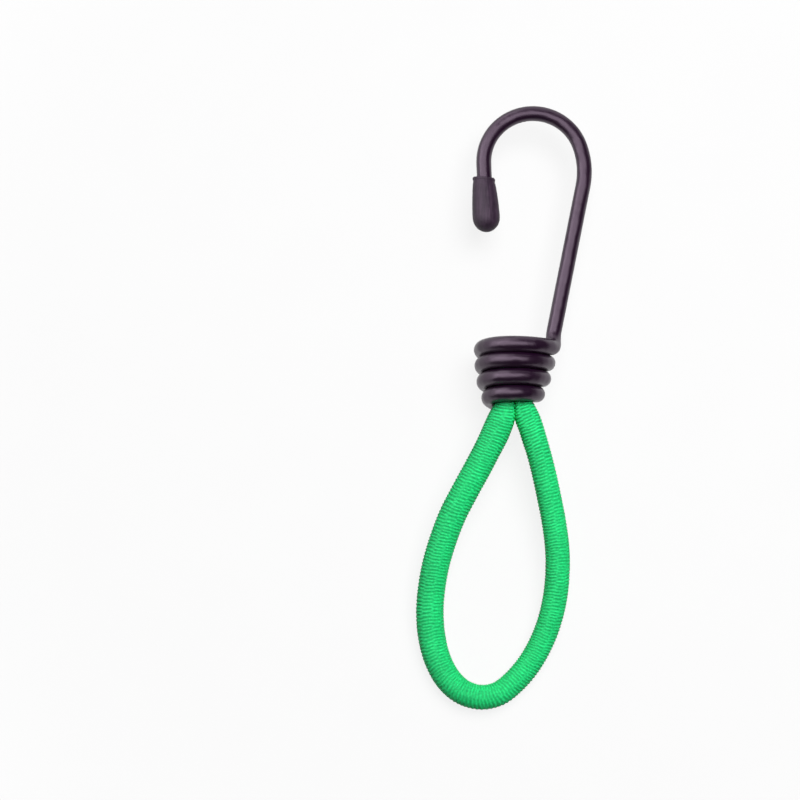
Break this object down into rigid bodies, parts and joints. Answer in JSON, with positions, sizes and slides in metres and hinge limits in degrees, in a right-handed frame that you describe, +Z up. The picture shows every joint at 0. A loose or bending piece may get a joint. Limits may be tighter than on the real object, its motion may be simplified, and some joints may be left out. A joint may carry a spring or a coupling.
{
  "type": "elastic tent peg loop",
  "caption": "Elastic tent peg loop: a coated wire hook with a rubber tip cap, its shank wound into a tapering coil that grips the ends of a braided elastic cord loop.",
  "frame": {"origin": "on the surface that it lies on, under the lowest point of the coil's first and widest turn", "axes": "+Y along the pull from the cord loop to the hook, +X to the shank's side of the hook, +Z up from the surface"},
  "size_m": [0.0344, 0.1401, 0.0195],
  "materials": {
    "coated_wire": "smooth black plastic coat on spring steel wire, satin gloss",
    "cap_rubber": "matte dipped black rubber",
    "clip_steel": "plain bent strip, dull",
    "braided_sheath": "bright green braided yarn, fine ribs across the cord",
    "rubber_core": "natural latex strands, dusty matte"
  },
  "bodies": {
    "hook": {"hook_wire": "coated_wire", "tip_cap": "cap_rubber", "end_clip": "clip_steel", "left_end_sheath": "braided_sheath", "left_end_core": "rubber_core", "right_end_sheath": "braided_sheath", "right_end_core": "rubber_core", "left_neck_sheath": "braided_sheath", "left_neck_core": "rubber_core", "right_neck_sheath": "braided_sheath", "right_neck_core": "rubber_core"},
    "loop": {"left_leg_sheath": "braided_sheath", "left_leg_core": "rubber_core", "right_leg_sheath": "braided_sheath", "right_leg_core": "rubber_core"},
    "bight": {"bight_sheath": "braided_sheath", "bight_core": "rubber_core"}
  },
  "joints": [
    {"name": "loop_swing", "type": "hinge", "parent": "hook", "child": "loop", "pos_m": [0.0006, -0.0213, 0.00937], "axis": [-1, 0, 0], "range_deg": [-60, 60], "stiffness_Nm_per_rad": 0.05, "deforming": ["left_neck_sheath", "left_neck_core", "right_neck_sheath", "right_neck_core"]},
    {"name": "loop_stretch", "type": "slide", "parent": "loop", "child": "bight", "axis": [0, -1, 0], "range_m": [0, 0.04], "stiffness_N_per_m": 1500, "deforming": ["left_leg_sheath", "left_leg_core", "right_leg_sheath", "right_leg_core"]}
  ]
}
